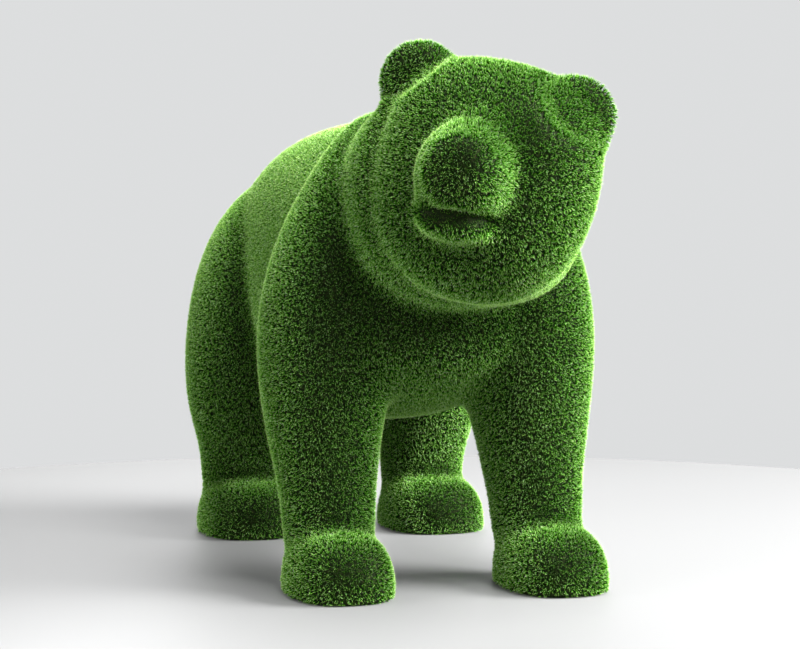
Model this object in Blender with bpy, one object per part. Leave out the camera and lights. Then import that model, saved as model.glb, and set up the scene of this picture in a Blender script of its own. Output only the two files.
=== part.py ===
"""Topiary bear: one standing figure, as the outer envelope of its artificial turf.

The bear stands on four flat soles, faces -Y with its left side at +X, and turns and tilts its
head to its right. Each mass of the animal is a cage of rings under a Subdivision Surface, and
the masses are fused, softened and cut flat at the ground. Metres, +Z up.
"""

import math

import bmesh
import bpy
from mathutils import Matrix, Vector

TOTAL_HEIGHT = 1.50  # ground to the top of the right ear

# Trunk
BACK_HEIGHT = 0.89 * TOTAL_HEIGHT  # ground to the top of the back
BELLY_HEIGHT = 0.267 * TOTAL_HEIGHT  # ground to the lowest point of the belly
TRUNK_WIDTH = 0.72  # across the ribs
RUMP_OVERHANG = 0.30  # rump behind the centres of the hind ankles
CHEST_OVERHANG = 0.17  # chest ahead of the centres of the fore ankles

# Fore legs
FORE_Y = -0.50  # centres of the ankles
FORE_TRACK = 0.60  # between the centres of the ankles
SHOULDER_HEIGHT = 0.887 * TOTAL_HEIGHT
SHOULDER_WIDTH = 0.97  # across both shoulders
SHOULDER_DEPTH = 0.47  # front to back, at the thickest
FORE_ANKLE_WIDTH = 0.255
FORE_PAW_WIDTH = 0.298
FORE_PAW_LENGTH = 0.43
FORE_PAW_Y = -0.60

# Hind legs
HIND_Y = 0.70
HIND_TRACK = 0.61
HAUNCH_HEIGHT = 0.813 * TOTAL_HEIGHT
HAUNCH_WIDTH = 1.00  # across both haunches
HAUNCH_DEPTH = 0.58  # front to back, at the thickest
HIND_ANKLE_WIDTH = 0.275
HIND_PAW_WIDTH = 0.34
HIND_PAW_LENGTH = 0.47
HIND_PAW_Y = 0.60

PAW_HEIGHT = 0.18
LEFT_STEP = 0.02  # the left legs stand this much ahead, and the right legs behind

# Neck and head
HEAD_SIDEWAYS = 0.039  # centre of the head, from the middle of the body
HEAD_Y = -0.85
HEAD_LEVEL = 0.75 * TOTAL_HEIGHT  # ground to the centre of the head
HEAD_WIDTH = 0.617
HEAD_HEIGHT = 0.67
HEAD_DEPTH = 0.48
HEAD_TURN = math.radians(-30.5)  # to the bear's right
HEAD_TILT = math.radians(13.5)  # left ear down
HEAD_NOD = math.radians(-2)  # nose up
RUFF_WIDTH = 0.645
RUFF_SHIFT = 0.016  # from the head's centre: to the right, back and down
RUFF_SETBACK = 0.15
RUFF_DROP = 0.035
JOWL_WIDTH = 0.61
JOWL_SHIFT = 0.05  # towards the bear's right
JOWL_HEIGHT = 0.43
JOWL_DROP = 0.125  # centre of the head to the centre of the jowls
MUZZLE_WIDTH = 0.27
MUZZLE_HEIGHT = 0.335
MUZZLE_LENGTH = 0.43  # centre of the head to the tip of the nose
CHIN_WIDTH = 0.25
CHIN_HEIGHT = 0.148
CHIN_LENGTH = 0.37
CHIN_DROP = 0.116  # centre of the head to the centre of the chin
MOUTH_DROP = 0.114
MOUTH_SHIFT = 0.02  # towards the bear's left
MOUTH_WIDTH = 0.33
MOUTH_DEPTH = 0.11  # from the tip of the chin
MOUTH_GAPE = 0.042
MOUTH_SLANT = math.radians(6)  # left corner up
EAR_WIDTH = 0.255
EAR_HEIGHT = 0.255
EAR_SPACING = 0.425
EAR_RISE = 0.21  # centre of the head to the centres of the ears
EAR_LEAN = 0.04  # both ears sit this far towards the bear's right
EAR_SETBACK = 0.015  # behind the centre of the head

# Surface
RING_POINTS = 16
CAGE_LEVELS = 2
FUSE_SIZE = 0.018  # grid that fuses the masses into one skin
SOFTEN_STEPS = 6  # rounds the creases between the masses
FACET_SHARE = 0.132  # of the fused faces that stay

TURF_GREEN = (0.045, 0.16, 0.018, 1.0)


def clear_scene():
    for thing in list(bpy.data.objects):
        bpy.data.objects.remove(thing)


def ring(centre, half_side, half_up, side, up, squareness):
    """Points of a superellipse round centre; squareness 2 is an ellipse.

    The squareness is a pair: of the upper half and of the lower half.
    """
    points = []
    for step in range(RING_POINTS):
        turn = 2 * math.pi * step / RING_POINTS
        c, s = math.cos(turn), math.sin(turn)
        power = 2 / squareness[0 if s > 0 else 1]
        across = math.copysign(abs(c) ** power, c) * half_side
        above = math.copysign(abs(s) ** power, s) * half_up
        points.append(centre + side * across + up * above)
    return points


def mass(bm, sections, side, up, squareness=(2.3, 2.3)):
    """A closed cage through sections of (centre, half size along side, half size along up)."""
    rings = []
    for centre, half_side, half_up in sections:
        places = ring(Vector(centre), half_side, half_up, side, up, squareness)
        rings.append([bm.verts.new(place) for place in places])
    for lower, upper in zip(rings, rings[1:]):
        for i in range(RING_POINTS):
            j = (i + 1) % RING_POINTS
            bm.faces.new((lower[i], lower[j], upper[j], upper[i]))
    bm.faces.new(reversed(rings[0]))
    bm.faces.new(rings[-1])


X, Y, Z = Vector((1, 0, 0)), Vector((0, 1, 0)), Vector((0, 0, 1))


def trunk(bm):
    """Sections across Y, from the chest to the rump: y, top, bottom, half width."""
    half, high, low, stance = TRUNK_WIDTH / 2, BACK_HEIGHT, BELLY_HEIGHT, HIND_Y - FORE_Y
    outline = (
        (FORE_Y - CHEST_OVERHANG, 0.70 * high, 0.51 * high, 0.45),
        (FORE_Y - 0.85 * CHEST_OVERHANG, 0.81 * high, 0.45 * high, 0.8),
        (FORE_Y, 0.93 * high, 0.386 * high, 0.98),
        (FORE_Y + 0.21 * stance, 0.993 * high, 1.1 * low, 1.0),
        (FORE_Y + 0.46 * stance, high, low, 1.0),
        (FORE_Y + 0.71 * stance, 0.996 * high, 1.04 * low, 1.0),
        (FORE_Y + 0.93 * stance, 0.965 * high, 0.36 * high, 0.98),
        (HIND_Y + 0.5 * RUMP_OVERHANG, 0.88 * high, 0.425 * high, 0.96),
        (HIND_Y + 0.9 * RUMP_OVERHANG, 0.76 * high, 0.50 * high, 0.78),
        (HIND_Y + RUMP_OVERHANG, 0.71 * high, 0.56 * high, 0.5),
    )
    sections = [
        ((0, y, (top + bottom) / 2), half * share, (top - bottom) / 2)
        for y, top, bottom, share in outline
    ]
    mass(bm, sections, -X, Z, (2.6, 2.6))


def leg(bm, sign, y, height, depth, outline):
    """Sections across Z, from the ankle up: level, inner x, outer x, front y and back y.

    Levels are shares of the height, and front and back are shares of the depth.
    """
    sections = [
        (
            (sign * (inner + outer) / 2, y + depth * (front + back) / 2, level * height),
            (outer - inner) / 2,
            depth * (back - front) / 2,
        )
        for level, inner, outer, front, back in outline
    ]
    mass(bm, sections, X, Y, (2.2, 2.2))


def fore_leg(bm, sign):
    centre, ankle, half = FORE_TRACK / 2, FORE_ANKLE_WIDTH / 2, SHOULDER_WIDTH / 2
    outline = (
        (0.03, centre - ankle, centre + ankle, -0.28, 0.30),
        (0.15, centre - 1.03 * ankle, centre + ankle, -0.27, 0.31),
        (0.24, centre - 1.16 * ankle, centre + 1.1 * ankle, -0.23, 0.43),
        (0.36, centre - 1.35 * ankle, 0.97 * half, -0.26, 0.60),
        (0.51, 0.14 * half, 1.01 * half, -0.32, 0.68),
        (0.65, 0.04 * half, 0.96 * half, -0.34, 0.66),
        (0.775, 0.04 * half, 0.825 * half, -0.30, 0.62),
        (0.887, 0.08 * half, 0.64 * half, -0.17, 0.53),
        (0.977, 0.08 * half, 0.45 * half, -0.04, 0.43),
        (1.0, 0.12 * half, 0.29 * half, 0.085, 0.30),
    )
    leg(bm, sign, FORE_Y - sign * LEFT_STEP, SHOULDER_HEIGHT, SHOULDER_DEPTH, outline)


def hind_leg(bm, sign):
    centre, ankle, half = HIND_TRACK / 2, HIND_ANKLE_WIDTH / 2, HAUNCH_WIDTH / 2
    outline = (
        (0.033, centre - ankle, centre + ankle, -0.224, 0.241),
        (0.156, centre - ankle, centre + ankle, -0.224, 0.241),
        (0.246, centre - 1.15 * ankle, centre + 1.12 * ankle, -0.31, 0.26),
        (0.344, centre - 1.35 * ankle, half, -0.43, 0.35),
        (0.492, 0.16 * half, 1.01 * half, -0.55, 0.45),
        (0.656, 0.12 * half, 0.96 * half, -0.57, 0.475),
        (0.82, 0.10 * half, 0.82 * half, -0.52, 0.42),
        (0.926, 0.10 * half, 0.60 * half, -0.41, 0.30),
        (0.97, 0.16 * half, 0.40 * half, -0.24, 0.14),
    )
    leg(bm, sign, HIND_Y - sign * LEFT_STEP, HAUNCH_HEIGHT, HAUNCH_DEPTH, outline)


def paw(bm, x, y, width, length):
    """A low rounded block on the ground, with its long way along Y."""
    outline = ((-0.5, 0.99), (0.0, 1.0), (0.4, 1.0), (0.74, 0.86), (1.0, 0.5))
    sections = [
        ((x, y, level * PAW_HEIGHT), share * width / 2, share * length / 2)
        for level, share in outline
    ]
    mass(bm, sections, X, Y, (2.6, 2.6))


def head_centre():
    return Vector((HEAD_SIDEWAYS, HEAD_Y, HEAD_LEVEL))


def head_frame():
    """Head coordinates: x to the bear's left, y up, z forward."""
    upright = Matrix((X, Z, -Y)).transposed().to_4x4()
    turn = Matrix.Rotation(HEAD_TURN, 4, Z)
    nod = Matrix.Rotation(HEAD_NOD, 4, X)
    tilt = Matrix.Rotation(HEAD_TILT, 4, Y)
    return Matrix.Translation(head_centre()) @ turn @ nod @ tilt @ upright


def head_mass(bm, width, height, length, place, outline, squareness=(2.3, 2.3)):
    """Sections across the head's z: z, rise of the middle, half width and half height.

    Each is a share: z of the length, the rise and the half height of half the height, and the
    half width of half the width. The place is the x and y of the whole mass.
    """
    frame = head_frame()
    side, up = (frame.to_3x3() @ axis for axis in (X, Y))
    sections = [
        (
            frame @ Vector((place[0], place[1] + lift * height / 2, ahead * length)),
            wide * width / 2,
            tall * height / 2,
        )
        for ahead, lift, wide, tall in outline
    ]
    mass(bm, sections, side, up, squareness)


def head(bm):
    outline = (
        (-0.5, 0.0, 0.4, 0.45),
        (-0.4, 0.0, 0.7, 0.75),
        (-0.17, -0.015, 0.97, 0.96),
        (0.08, -0.03, 1.0, 1.0),
        (0.27, -0.06, 0.88, 0.9),
        (0.42, -0.09, 0.66, 0.7),
        (0.5, -0.09, 0.4, 0.45),
    )
    head_mass(bm, HEAD_WIDTH, HEAD_HEIGHT, HEAD_DEPTH, (0, 0), outline, (2.75, 2.25))


def jowls(bm):
    """Fullness under the cheeks, which joins the head to the ruff below its side folds."""
    outline = (
        (-0.56, 0.0, 0.8, 0.75),
        (-0.44, 0.0, 1.0, 0.98),
        (-0.21, 0.0, 1.03, 1.04),
        (0.0, 0.0, 0.98, 1.0),
        (0.13, 0.0, 0.83, 0.84),
    )
    place = (-JOWL_SHIFT, -JOWL_DROP)
    head_mass(bm, JOWL_WIDTH, JOWL_HEIGHT, HEAD_DEPTH, place, outline, (2.6, 2.2))


def neck(bm):
    """From inside the shoulders to the ruff behind the cheeks."""
    start = Vector((0, FORE_Y + 0.25, 0.75 * BACK_HEIGHT))
    ruff = head_centre() + Vector((-RUFF_SHIFT, RUFF_SETBACK, -RUFF_DROP))
    along = (ruff - start).normalized()
    side = along.cross(Z).normalized()
    up = side.cross(along)
    half = RUFF_WIDTH / 2
    outline = ((0, 0.85), (0.35, 0.9), (0.7, 0.96), (1.0, 1.0), (1.15, 0.93), (1.25, 0.6))
    sections = [(start.lerp(ruff, share), half * wide, half * wide) for share, wide in outline]
    mass(bm, sections, side, up)


def muzzle(bm):
    outline = (
        (0.19, 0.06, 1.05, 1.10),
        (0.47, 0.04, 1.0, 1.02),
        (0.70, 0.0, 0.95, 0.85),
        (0.86, 0.0, 0.85, 0.70),
        (0.95, 0.02, 0.68, 0.56),
        (1.0, 0.02, 0.40, 0.33),
    )
    head_mass(bm, MUZZLE_WIDTH, MUZZLE_HEIGHT, MUZZLE_LENGTH, (0, 0), outline, (1.9, 2.4))


def chin(bm):
    outline = (
        (0.22, 0.0, 1.0, 1.0),
        (0.60, 0.0, 0.98, 0.98),
        (0.84, -0.02, 0.88, 0.85),
        (0.95, -0.05, 0.70, 0.64),
        (1.0, -0.05, 0.40, 0.36),
    )
    head_mass(bm, CHIN_WIDTH, CHIN_HEIGHT, CHIN_LENGTH, (0, -CHIN_DROP), outline, (2.3, 2.0))


def ear(bm, sign):
    frame = head_frame()
    centre = Vector((sign * EAR_SPACING / 2 - EAR_LEAN, EAR_RISE, -EAR_SETBACK))
    outward = Vector((sign * 0.66, 0.75, 0)).normalized()
    across = Vector((outward.y, -outward.x, 0))
    outline = ((-0.25, 0.5), (-0.2, 0.82), (0, 1.0), (0.2, 0.82), (0.25, 0.5))
    sections = [
        (
            frame @ (centre + Vector((0, 0, depth * EAR_WIDTH))),
            wide * EAR_WIDTH / 2,
            wide * EAR_HEIGHT / 2,
        )
        for depth, wide in outline
    ]
    turned = frame.to_3x3()
    mass(bm, sections, turned @ across, turned @ outward, (2, 2))


def add_modifier(thing, kind, **settings):
    modifier = thing.modifiers.new(kind.title(), kind)
    for name, value in settings.items():
        setattr(modifier, name, value)
    return modifier


def turf_material():
    material = bpy.data.materials.new("turf")
    material.use_nodes = True
    shader = material.node_tree.nodes["Principled BSDF"]
    shader.inputs["Base Color"].default_value = TURF_GREEN
    shader.inputs["Roughness"].default_value = 0.9
    return material


def new_object(name, bm):
    bmesh.ops.recalc_face_normals(bm, faces=bm.faces)
    mesh = bpy.data.meshes.new(name)
    bm.to_mesh(mesh)
    bm.free()
    thing = bpy.data.objects.new(name, mesh)
    bpy.context.scene.collection.objects.link(thing)
    return thing


def hide_cutter(cutter):
    cutter.hide_render = True
    cutter.display_type = "WIRE"


def ground_cutter():
    """Everything under the ground, which cuts the soles flat."""
    bm = bmesh.new()
    bmesh.ops.create_cube(bm, size=1)
    cutter = new_object("ground_cutter", bm)
    cutter.data.transform(Matrix.Translation((0, 0, -0.5)) @ Matrix.Diagonal((4, 4, 1, 1)))
    hide_cutter(cutter)
    return cutter


def mouth_cutter():
    """A lens across the muzzle, thickest in the middle, which opens the mouth."""
    frame = head_frame() @ Matrix.Rotation(MOUTH_SLANT, 4, Z)
    up, forward = (frame.to_3x3() @ axis for axis in (Y, Z))
    outline = ((-1.0, 0.15), (-0.6, 0.5), (-0.25, 0.92), (0.25, 0.92), (0.6, 0.5), (1.0, 0.15))
    sections = [
        (
            frame @ Vector((MOUTH_SHIFT + place * MOUTH_WIDTH / 2, -MOUTH_DROP, CHIN_LENGTH)),
            MOUTH_DEPTH,
            thick * MOUTH_GAPE / 2,
        )
        for place, thick in outline
    ]
    bm = bmesh.new()
    mass(bm, sections, forward, up, (2, 2))
    cutter = new_object("mouth_cutter", bm)
    hide_cutter(cutter)
    return cutter


def bear():
    bm = bmesh.new()
    trunk(bm)
    neck(bm)
    head(bm)
    jowls(bm)
    muzzle(bm)
    chin(bm)
    for sign in (-1, 1):
        fore_leg(bm, sign)
        hind_leg(bm, sign)
        ear(bm, sign)
        step = sign * LEFT_STEP
        paw(bm, sign * FORE_TRACK / 2, FORE_PAW_Y - step, FORE_PAW_WIDTH, FORE_PAW_LENGTH)
        paw(bm, sign * HIND_TRACK / 2, HIND_PAW_Y - step, HIND_PAW_WIDTH, HIND_PAW_LENGTH)
    body = new_object("bear", bm)
    body.data.materials.append(turf_material())
    add_modifier(body, "SUBSURF", levels=CAGE_LEVELS, render_levels=CAGE_LEVELS)
    add_modifier(body, "REMESH", mode="VOXEL", voxel_size=FUSE_SIZE, use_smooth_shade=True)
    add_modifier(body, "SMOOTH", factor=0.5, iterations=SOFTEN_STEPS)
    add_modifier(body, "BOOLEAN", operation="DIFFERENCE", object=mouth_cutter())
    add_modifier(body, "DECIMATE", ratio=FACET_SHARE)
    add_modifier(body, "BOOLEAN", operation="DIFFERENCE", object=ground_cutter())
    return body


def centre_on_ground(body):
    """Puts the middle of the finished body's outline over the origin."""
    bpy.context.view_layer.update()
    finished = body.evaluated_get(bpy.context.evaluated_depsgraph_get())
    corners = [Vector(corner) for corner in finished.bound_box]
    body.location = -sum(corners, Vector()) / len(corners)
    body.location.z = 0


clear_scene()
centre_on_ground(bear())
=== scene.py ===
"""Looks of the topiary bear: a dark backing just inside the CAD surface, and the turf on it.

The turf is made of tufts of straight blades. Every blade is one triangle, and its place on the
piece's map picks its tone and runs from the dark root, painted shade, to the pale tip, painted
sheen. Metres, +Z up; the bear faces -Y and its left is +X.
"""

import math

import bpy
import numpy as np
from mathutils import Matrix, Vector


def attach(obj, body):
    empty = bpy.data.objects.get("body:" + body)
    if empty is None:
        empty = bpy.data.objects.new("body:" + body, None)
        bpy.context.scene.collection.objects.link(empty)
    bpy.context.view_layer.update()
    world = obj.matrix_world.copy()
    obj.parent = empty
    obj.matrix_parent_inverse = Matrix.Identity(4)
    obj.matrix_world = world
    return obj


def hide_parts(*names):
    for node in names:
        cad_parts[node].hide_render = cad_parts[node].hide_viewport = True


# Camera, as in the photograph
CAMERA_PLACE = Vector((-1.595, -5.7248, 0.98))
CAMERA_AZIMUTH = math.radians(-15.5)
FOCAL_PIXELS = 2000
HORIZON_ROW = 234
VANISHING_COLUMN = 396
FRAME_WIDTH, FRAME_HEIGHT = 800, 649
SENSOR_WIDTH = 36  # mm

# Turf
PILE = 0.017  # usual length of a blade
INSET = 0.012  # depth of the backing under the CAD surface, which the tips just pass
BLADE_WIDTH = 0.0019
BLADE_SHOULDER = 0.6  # share of the length at which a blade is widest
TUFT_RADIUS = 0.0022
BLADES_PER_TUFT = 4
BLADES = 944000
UPRIGHT_SPREAD = 0.10  # how far the tufts lean, as a share of their length
FAN_SPREAD = 0.14  # how far the blades of a tuft lean apart
DROOP = 0.12  # how far gravity leans them
STRAY_LEAN = 0.07  # chance lean of each blade
TUFT_LENGTH_SPREAD = 0.07  # as a share of the pile
BLADE_LENGTHS = (0.86, 1.06)  # shortest and longest blade of a tuft, as shares of its length
BLADE_WIDTHS = (0.75, 1.25)  # narrowest and widest blade, as shares of the usual width
THATCH_SHARE = 0.10  # short brown blades
THATCH_LENGTHS = (0.4, 0.7)  # shortest and longest brown blade, as shares of a green one
ROOT_DEPTH = 0.001  # a root starts this far under the backing
GROUND_TIPS = (0.0005, 0.004)  # lowest height of a tip, picked between these
GROUND_ROOTS = 0.0012  # lowest height of a root
GROUND_SHOULDERS = 0.0004  # lowest height of a shoulder
SEED = 7

# Tones of the turf: 0 is the darkest and 1 the palest
TONE_MIDDLE = 0.45
TUFT_TONE_SPREAD = 0.10
BLADE_TONE_SPREAD = 0.22
CELLS = 16  # the map of the blades is a grid of this many cells each way
CELL_MARGIN = 0.06  # share of a cell that blades leave free at its top and bottom
BLADE_COLUMNS = (0.35, 0.65, 0.5)  # places of root, shoulder and tip across a cell
THATCH_ROWS = 2  # rows of that grid that are brown

# Colours: ramps of places and linear colours
BODY_TONES = (
    (0.0, (0.008, 0.115, 0.0003)),
    (0.5, (0.054, 0.375, 0.0006)),
    (1.0, (0.145, 0.600, 0.002)),
)
# painted sheen on the blade tips, green lightened up to nearly white
TIP_SHEEN_TONES = (
    (0.0, (0.20, 0.61, 0.02)),
    (0.5, (0.66, 0.90, 0.27)),
    (1.0, (0.98, 0.99, 0.86)),
)
THATCH_TONES = (
    (0.0, (0.030, 0.028, 0.010)),
    (0.6, (0.080, 0.070, 0.025)),
    (1.0, (0.160, 0.140, 0.060)),
)
# thatch colour, darkened further with painted shade of the deep pile
BACKING_THATCH_AND_SHADE_TONES = (
    (0.3, (0.004, 0.008, 0.002)),
    (0.55, (0.012, 0.022, 0.005)),
    (0.75, (0.035, 0.038, 0.012)),
)
# painted shade at the roots, where the pile is deep and dark
ROOT_SHADE_COLOUR = (0.003, 0.008, 0.0015)
ROOT_SHADE_RUN = (0.45, 0.87)  # heights in a cell over which the painted shade at the root gives way to the body's colour
TIP_SHEEN_RUN = (0.66, 0.94)  # heights in a cell over which the body's colour gives way to the painted sheen at the tip
FLOOR_COLOUR = (0.155, 0.155, 0.155)
SKY_COLOUR = (0.72, 0.73, 0.735)

# Backing
SKIN_VOXEL = 0.010
SKIN_SMOOTHING = 9
BACKING_FACES = 40000
SOLE_HEIGHT = 0.012  # a face that looks down below this is on a sole
SOLE_SLOPE = -0.5  # highest upward part of the normal on a flat sole
BARE_SLOPE = -0.4  # and where a sole has no blades
SOLE_LIFT = 0.001  # backing above the ground

# Head and mouth, where the CAD has them
HEAD_CENTRE = Vector((0.039, -0.7278, 1.125))
HEAD_TURN = math.radians(-30.5)
HEAD_NOD = math.radians(-2)
HEAD_TILT = math.radians(13.5)
MOUTH_SLANT = math.radians(6)
MOUTH_DROP = 0.114  # centre of the head to the mouth
MOUTH_SHIFT = 0.02  # towards the bear's left
MOUTH_HALF_WIDTH = 0.14
MOUTH_BACK = 0.22  # centre of the head to the corners of the mouth
MOUTH_FADE = 0.05  # length over which the mouth comes in from there
MOUTH_HALF_GAPE = 0.017
MOUTH_CARVE = 0.022  # depth of the mouth in the backing
PARTING_REACH = 2.2  # half gapes over which the blades part at the mouth
PARTING_LEAN = 0.8
MOUTH_TRIM = 0.75  # share of their length that the blades lose in the mouth
MOUTH_SHADE = 0.5  # tone that they lose there

# Relief of the face, in head coordinates: x to the bear's left, y up, z forward
NOSE_PLACE = (0.026, -0.005)
NOSE_RADIUS = 0.084
NOSE_BAND = 0.042  # width of the slope round the nose
NOSE_STEP = 0.032  # depth of that slope
NOSE_FRONT = (0.22, 0.30)  # z over which the slope comes in
NOSE_UNDERSIDE = (-0.16, -0.08)  # y over which it comes in above the mouth
EAR_BAND = 0.032  # width of the slope round the ears
EAR_FRONT = (-0.12, 0.0)  # z over which their setback comes in
EAR_ROUNDS = (  # x, y, radius and depth of the rounds that set the ears back
    (0.28, 0.33, 0.19, 0.06),
    (-0.36, 0.33, 0.20, 0.035),
)

# Stage
FLOOR_RADIUS = 2.9
FLOOR_SIDES = 128
LIGHT_TARGET = (0, -0.2, 0.7)
LIGHTS = (  # name, place, diameter and watts
    ("right", (6.4, -2.6, 4.6), 4.5, 3200),
    ("left", (-7.0, -0.8, 4.6), 4.5, 350),
    ("back", (0.5, 7.0, 4.6), 4.5, 180),
    ("front", (2.6, -7.0, 5.4), 4.5, 260),
    ("top", (1.4, -2.2, 6.0), 4.0, 950),
)


def new_material(name):
    material = bpy.data.materials.new(name)
    material.use_nodes = True
    nodes = material.node_tree.nodes
    return material, nodes, material.node_tree.links, nodes["Principled BSDF"]


def colour_ramp(nodes, links, value, stops):
    ramp = nodes.new("ShaderNodeValToRGB")
    links.new(value, ramp.inputs["Fac"])
    elements = ramp.color_ramp.elements
    while len(elements) < len(stops):
        elements.new(0.5)
    for element, (place, colour) in zip(elements, stops):
        element.position = place
        element.color = (*colour, 1)
    return ramp.outputs["Color"]


def math_node(nodes, links, operation, *values):
    node = nodes.new("ShaderNodeMath")
    node.operation = operation
    for socket, value in zip(node.inputs, values):
        if isinstance(value, (int, float)):
            socket.default_value = value
        else:
            links.new(value, socket)
    return node.outputs[0]


def mix_colour(nodes, links, share, first, second):
    node = nodes.new("ShaderNodeMix")
    node.data_type = "RGBA"
    links.new(share, node.inputs["Factor"])
    for socket, value in ((node.inputs["A"], first), (node.inputs["B"], second)):
        if isinstance(value, tuple):
            socket.default_value = (*value, 1)
        else:
            links.new(value, socket)
    return node.outputs["Result"]


def step(nodes, links, value, start, end):
    """A smooth rise from 0 to 1 between start and end."""
    node = nodes.new("ShaderNodeMapRange")
    node.interpolation_type = "SMOOTHSTEP"
    node.inputs["From Min"].default_value = start
    node.inputs["From Max"].default_value = end
    links.new(value, node.inputs["Value"])
    return node.outputs["Result"]


def blade_material():
    """Tone from the column of the map's cell, brown in its last rows, with painted shade towards
    the root and painted sheen towards the tip.
    """
    material, nodes, links, shader = new_material("turf_blades")
    place = nodes.new("ShaderNodeUVMap")
    place.uv_map = "OFBake"
    split = nodes.new("ShaderNodeSeparateXYZ")
    links.new(place.outputs["UV"], split.inputs["Vector"])
    column, row = split.outputs["X"], split.outputs["Y"]
    height = math_node(nodes, links, "FRACT", math_node(nodes, links, "MULTIPLY", row, CELLS))
    body, tip, thatch = (
        colour_ramp(nodes, links, column, tones) for tones in (BODY_TONES, TIP_SHEEN_TONES, THATCH_TONES)
    )
    # painted sheen lightens each blade towards its tip
    green = mix_colour(nodes, links, step(nodes, links, height, *TIP_SHEEN_RUN), body, tip)
    is_thatch = math_node(nodes, links, "GREATER_THAN", row, 1 - THATCH_ROWS / CELLS)
    upper = mix_colour(nodes, links, is_thatch, green, thatch)
    # painted shade darkens each blade towards its root
    colour = mix_colour(nodes, links, step(nodes, links, height, *ROOT_SHADE_RUN), ROOT_SHADE_COLOUR, upper)
    links.new(colour, shader.inputs["Base Color"])
    shader.inputs["Roughness"].default_value = 0.55
    shader.inputs["Specular IOR Level"].default_value = 0.0
    return material


def backing_material():
    """Matted brown and olive thatch, darkened further with painted shade of the deep pile, seen
    only deep between the blades.
    """
    material, nodes, links, shader = new_material("thatch_and_shade_backing")
    place = nodes.new("ShaderNodeTexCoord")
    mottle = nodes.new("ShaderNodeTexNoise")
    mottle.inputs["Scale"].default_value = 160
    mottle.inputs["Detail"].default_value = 3
    links.new(place.outputs["Object"], mottle.inputs["Vector"])
    tone = colour_ramp(nodes, links, mottle.outputs["Fac"], BACKING_THATCH_AND_SHADE_TONES)
    links.new(tone, shader.inputs["Base Color"])
    bump = nodes.new("ShaderNodeBump")
    bump.inputs["Strength"].default_value = 0.6
    bump.inputs["Distance"].default_value = 0.002
    links.new(mottle.outputs["Fac"], bump.inputs["Height"])
    links.new(bump.outputs["Normal"], shader.inputs["Normal"])
    shader.inputs["Roughness"].default_value = 0.95
    shader.inputs["Specular IOR Level"].default_value = 0.1
    return material


def link(name, mesh):
    piece = bpy.data.objects.new(name, mesh)
    bpy.context.scene.collection.objects.link(piece)
    return piece


def add_modifier(piece, kind, **settings):
    modifier = piece.modifiers.new(kind.title(), kind)
    for name, value in settings.items():
        setattr(modifier, name, value)


def read_mesh(mesh):
    places = np.empty(len(mesh.vertices) * 3, np.float32)
    mesh.vertices.foreach_get("co", places)
    normals = np.empty(len(mesh.vertices) * 3, np.float32)
    mesh.vertices.foreach_get("normal", normals)
    mesh.calc_loop_triangles()
    triangles = np.empty(len(mesh.loop_triangles) * 3, np.int32)
    mesh.loop_triangles.foreach_get("vertices", triangles)
    return (
        places.reshape(-1, 3).astype(float),
        normals.reshape(-1, 3).astype(float),
        triangles.reshape(-1, 3),
    )


def unit(vectors):
    return vectors / np.maximum(np.linalg.norm(vectors, axis=1, keepdims=True), 1e-9)


def applied(piece, name):
    """The mesh of the piece with its modifiers."""
    evaluated = piece.evaluated_get(bpy.context.evaluated_depsgraph_get())
    mesh = bpy.data.meshes.new_from_object(evaluated)
    mesh.name = name
    piece.modifiers.clear()
    return mesh


def backing():
    """A fine even skin from the CAD surface, sunk by INSET except on the soles."""
    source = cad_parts["bear"]
    piece = link("thatch_and_shade_backing", source.data.copy())
    piece.data.transform(source.matrix_world)
    add_modifier(piece, "REMESH", mode="VOXEL", voxel_size=SKIN_VOXEL, use_smooth_shade=True)
    add_modifier(piece, "SMOOTH", factor=0.5, iterations=SKIN_SMOOTHING)
    mesh = applied(piece, "skin")
    piece.data = mesh
    places, normals, triangles = read_mesh(mesh)
    sole = (places[:, 2] < SOLE_HEIGHT) & (normals[:, 2] < SOLE_SLOPE)
    carve = mouth_share(places, MOUTH_HALF_GAPE)[0] * MOUTH_CARVE
    sunk = places - normals * (INSET + carve)[:, None] - setback(places)
    sunk[sole, 2] = SOLE_LIFT
    sunk[:, 2] = np.maximum(sunk[:, 2], SOLE_LIFT)
    mesh.vertices.foreach_set("co", sunk.astype(np.float32).ravel())
    mesh.update()
    skin = read_mesh(mesh)
    add_modifier(piece, "DECIMATE", ratio=BACKING_FACES / len(triangles))
    piece.data = applied(piece, "thatch_and_shade_backing")
    piece.data.materials.clear()
    piece.data.materials.append(backing_material())
    piece.data.shade_smooth()
    return piece, skin


def head_frame():
    """Head coordinates: x to the bear's left, y up, z forward."""
    upright = Matrix(((1, 0, 0), (0, 0, 1), (0, -1, 0))).transposed().to_4x4()
    turn = Matrix.Rotation(HEAD_TURN, 4, "Z")
    nod = Matrix.Rotation(HEAD_NOD, 4, "X")
    tilt = Matrix.Rotation(HEAD_TILT, 4, "Y")
    return Matrix.Translation(HEAD_CENTRE) @ turn @ nod @ tilt @ upright


def mouth_frame():
    """Head coordinates, moved and turned to the line of the mouth."""
    slant = Matrix.Rotation(MOUTH_SLANT, 4, "Z")
    return head_frame() @ slant @ Matrix.Translation((MOUTH_SHIFT, -MOUTH_DROP, 0))


def placed_in(frame_matrix, points):
    inverse = np.array(frame_matrix.inverted())
    return points @ inverse[:3, :3].T + inverse[:3, 3]


def fade(values, start, end):
    """0 up to the start and 1 from the end, with a soft run between them."""
    share = np.clip((values - start) / (end - start), 0, 1)
    return share * share * (3 - 2 * share)


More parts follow.
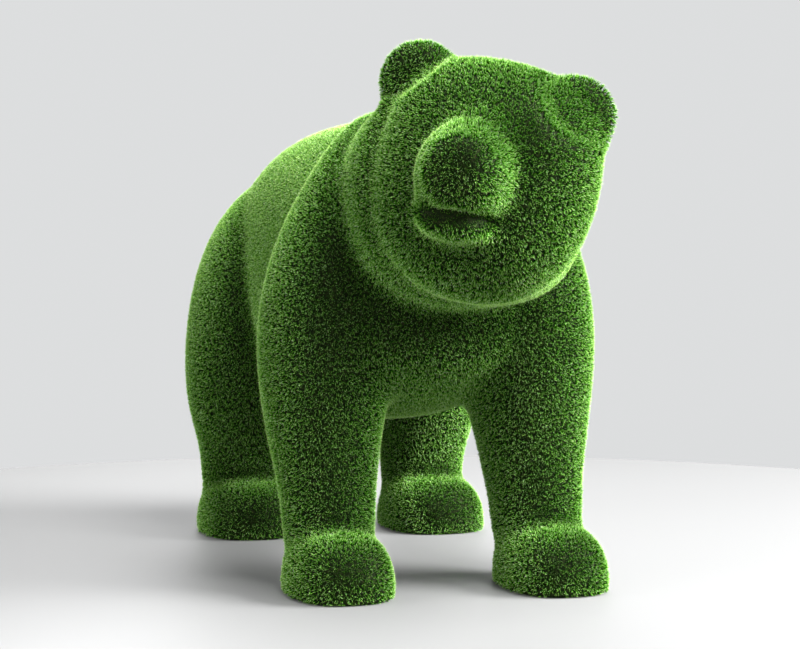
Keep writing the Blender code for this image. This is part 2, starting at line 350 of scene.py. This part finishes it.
def setback(points):
    """How far the slope round the nose and the ears as a whole move back, as vectors."""
    forward = np.array(head_frame())[:3, 2]
    place = placed_in(head_frame(), points)
    reach = np.hypot(place[:, 0] - NOSE_PLACE[0], place[:, 1] - NOSE_PLACE[1])
    depth = NOSE_STEP * fade(reach, NOSE_RADIUS, NOSE_RADIUS + NOSE_BAND)
    depth *= fade(place[:, 2], *NOSE_FRONT) * fade(place[:, 1], *NOSE_UNDERSIDE)
    for x, y, radius, step_back in EAR_ROUNDS:
        reach = np.hypot(place[:, 0] - x, place[:, 1] - y)
        share = 1 - fade(reach, radius - EAR_BAND / 2, radius + EAR_BAND / 2)
        depth += step_back * share * fade(place[:, 2], *EAR_FRONT)
    return depth[:, None] * forward


def mouth_share(points, half_gape):
    """1 on the mouth's line, falling to 0 away from it and towards its corners."""
    place = placed_in(mouth_frame(), points)
    up = np.array(mouth_frame())[:3, 1]
    across = np.clip(1 - (place[:, 0] / MOUTH_HALF_WIDTH) ** 2, 0, 1)
    ahead = np.clip((place[:, 2] - MOUTH_BACK) / MOUTH_FADE, 0, 1)
    near = np.exp(-((place[:, 1] / half_gape) ** 2))
    return near * np.sqrt(across) * ahead, np.sign(place[:, 1])[:, None] * up


def scatter(places, normals, triangles, count, rng):
    """Even random points on the triangles, with the normals there."""
    a, b, c = (places[triangles[:, i]] for i in range(3))
    areas = np.linalg.norm(np.cross(b - a, c - a), axis=1) / 2
    up = normals[triangles].mean(axis=1)
    middle = (a + b + c) / 3
    areas[(middle[:, 2] < SOLE_HEIGHT) & (up[:, 2] < BARE_SLOPE)] = 0
    reach = np.cumsum(areas)
    picks = (np.arange(count) + rng.random(count)) / count * reach[-1]
    chosen = np.minimum(np.searchsorted(reach, picks), len(triangles) - 1)
    u, v = rng.random((2, count, 1))
    fold = u + v > 1
    u, v = np.where(fold, 1 - u, u), np.where(fold, 1 - v, v)
    points = a[chosen] + u * (b - a)[chosen] + v * (c - a)[chosen]
    corner = [normals[triangles[chosen, i]] for i in range(3)]
    upward = unit(corner[0] * (1 - u - v) + corner[1] * u + corner[2] * v)
    return points, upward


def tangents(upward):
    """Two directions at right angles to each normal."""
    guide = np.where(np.abs(upward[:, 2:]) < 0.8, (0.0, 0.0, 1.0), (1.0, 0.0, 0.0))
    first = unit(np.cross(guide, upward))
    return first, np.cross(upward, first)


def grow(points, upward, rng):
    """Corners of every blade, and the cell of the map that it takes its colour from."""
    first, second = tangents(upward)
    count = len(points)
    turn = rng.random(count) * 2 * math.pi
    lean = np.abs(rng.normal(0, UPRIGHT_SPREAD, count))
    down = np.array((0.0, 0.0, -1.0)) + upward * upward[:, 2:]
    tuft_lean = (
        first * (lean * np.cos(turn))[:, None]
        + second * (lean * np.sin(turn))[:, None]
        + down * DROOP
    )
    tuft_length = rng.normal(1.0, TUFT_LENGTH_SPREAD, count)
    tuft_tone = rng.normal(TONE_MIDDLE, TUFT_TONE_SPREAD, count)
    parting, away_from_mouth = mouth_share(points, PARTING_REACH * MOUTH_HALF_GAPE)
    tuft_lean += away_from_mouth * (PARTING_LEAN * parting)[:, None]
    inside, _ = mouth_share(points, MOUTH_HALF_GAPE)
    tuft_length *= 1 - MOUTH_TRIM * inside
    tuft_tone -= MOUTH_SHADE * inside

    def spread(values):
        return np.repeat(values, BLADES_PER_TUFT, axis=0)

    total = count * BLADES_PER_TUFT
    first, second, upward = spread(first), spread(second), spread(upward)
    turn = rng.random(total) * 2 * math.pi
    away = np.sqrt(rng.random(total))
    outward = first * np.cos(turn)[:, None] + second * np.sin(turn)[:, None]
    root = spread(points) + outward * (away * TUFT_RADIUS)[:, None] - upward * ROOT_DEPTH
    stray = rng.normal(0, STRAY_LEAN, (total, 3))
    along = unit(upward + spread(tuft_lean) + outward * (away * FAN_SPREAD)[:, None] + stray)
    is_thatch = rng.random(total) < THATCH_SHARE
    length = PILE * spread(tuft_length) * rng.uniform(*BLADE_LENGTHS, total)
    length[is_thatch] *= rng.uniform(*THATCH_LENGTHS, is_thatch.sum())
    facing = rng.random(total) * math.pi
    across = first * np.cos(facing)[:, None] + second * np.sin(facing)[:, None]
    width = BLADE_WIDTH * rng.uniform(*BLADE_WIDTHS, total)[:, None]
    tip = root + along * length[:, None]
    tip[:, 2] = np.maximum(tip[:, 2], rng.uniform(*GROUND_TIPS, total))
    root[:, 2] = np.maximum(root[:, 2], GROUND_ROOTS)
    shoulder = root + (tip - root) * BLADE_SHOULDER + across * width
    shoulder[:, 2] = np.maximum(shoulder[:, 2], GROUND_SHOULDERS)
    corners = np.stack((root, shoulder, tip), axis=1)

    tone = np.clip(spread(tuft_tone) + rng.normal(0, BLADE_TONE_SPREAD, total), 0, 0.999)
    column = np.floor(tone * CELLS)
    green_rows = CELLS - THATCH_ROWS
    row = np.where(
        is_thatch,
        green_rows + np.floor(rng.random(total) * THATCH_ROWS),
        np.floor(rng.random(total) * green_rows),
    )
    return corners, column, row


def turf_piece(name, corners, column, row, material):
    count = len(corners)
    mesh = bpy.data.meshes.new(name)
    mesh.vertices.add(count * 3)
    mesh.loops.add(count * 3)
    mesh.polygons.add(count)
    mesh.vertices.foreach_set("co", corners.astype(np.float32).ravel())
    mesh.loops.foreach_set("vertex_index", np.arange(count * 3, dtype=np.int32))
    mesh.polygons.foreach_set("loop_start", np.arange(0, count * 3, 3, dtype=np.int32))
    mesh.update(calc_edges=True)
    layer = mesh.uv_layers.new(name="OFBake")
    spot = np.empty((count, 3, 2), np.float32)
    for corner, share in enumerate((0, BLADE_SHOULDER, 1)):
        height = CELL_MARGIN + (1 - 2 * CELL_MARGIN) * share
        spot[:, corner, 0] = (column + BLADE_COLUMNS[corner]) / CELLS
        spot[:, corner, 1] = (row + height) / CELLS
    layer.data.foreach_set("uv", spot.ravel())
    mesh.materials.append(material)
    return link(name, mesh)


def turf(skin):
    rng = np.random.default_rng(SEED)
    points, upward = scatter(*skin, BLADES // BLADES_PER_TUFT, rng)
    corners, column, row = grow(points, upward, rng)
    middle = corners[:, :2].mean(axis=1)
    order = np.argsort(middle[:, 1], kind="stable")
    names = ("turf_head", "turf_chest", "turf_trunk", "turf_loins", "turf_rump")
    material = blade_material()
    pieces = []
    for name, part in zip(names, np.array_split(order, len(names))):
        pieces.append(turf_piece(name, corners[part], column[part], row[part], material))
    return pieces


def floor():
    mesh = bpy.data.meshes.new("floor")
    turns = (2 * math.pi * side / FLOOR_SIDES for side in range(FLOOR_SIDES))
    rim = [(FLOOR_RADIUS * math.cos(turn), FLOOR_RADIUS * math.sin(turn), 0) for turn in turns]
    mesh.from_pydata(rim, [], [tuple(range(FLOOR_SIDES))])
    material, _, _, shader = new_material("pale_floor")
    shader.inputs["Base Color"].default_value = (*FLOOR_COLOUR, 1)
    shader.inputs["Roughness"].default_value = 0.5
    mesh.materials.append(material)
    link("floor", mesh)


def area_light(name, place, size, power):
    data = bpy.data.lights.new(name, "AREA")
    data.shape = "DISK"
    data.size = size
    data.energy = power
    lamp = link(name, data)
    lamp.location = place
    lamp.rotation_euler = (Vector(LIGHT_TARGET) - Vector(place)).to_track_quat("-Z", "Y").to_euler()


def studio():
    scene = bpy.context.scene
    world = bpy.data.worlds.new("studio")
    world.use_nodes = True
    sky = world.node_tree.nodes["Background"]
    sky.inputs["Color"].default_value = (*SKY_COLOUR, 1)
    sky.inputs["Strength"].default_value = 1.0
    scene.world = world
    scene.view_settings.view_transform = "Standard"
    for light in LIGHTS:
        area_light(*light)


def camera():
    data = bpy.data.cameras.new("camera")
    data.sensor_width = SENSOR_WIDTH
    data.lens = SENSOR_WIDTH * FOCAL_PIXELS / FRAME_WIDTH
    eye = link("camera", data)
    eye.location = CAMERA_PLACE
    pitch = math.atan((FRAME_HEIGHT / 2 - HORIZON_ROW) / FOCAL_PIXELS)
    yaw = math.atan((FRAME_WIDTH / 2 - VANISHING_COLUMN) / FOCAL_PIXELS)
    eye.rotation_euler = (math.pi / 2 - pitch, 0, CAMERA_AZIMUTH - yaw)
    bpy.context.scene.camera = eye


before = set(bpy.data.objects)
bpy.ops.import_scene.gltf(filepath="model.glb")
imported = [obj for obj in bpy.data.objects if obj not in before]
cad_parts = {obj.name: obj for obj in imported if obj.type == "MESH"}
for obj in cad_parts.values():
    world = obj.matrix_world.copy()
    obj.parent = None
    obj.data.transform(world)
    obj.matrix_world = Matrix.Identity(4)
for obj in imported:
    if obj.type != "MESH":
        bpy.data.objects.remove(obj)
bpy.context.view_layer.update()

camera()
studio()
floor()
thatch_and_shade_backing, skin = backing()
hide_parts("bear")
for piece in (thatch_and_shade_backing, *turf(skin)):
    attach(piece, "root")
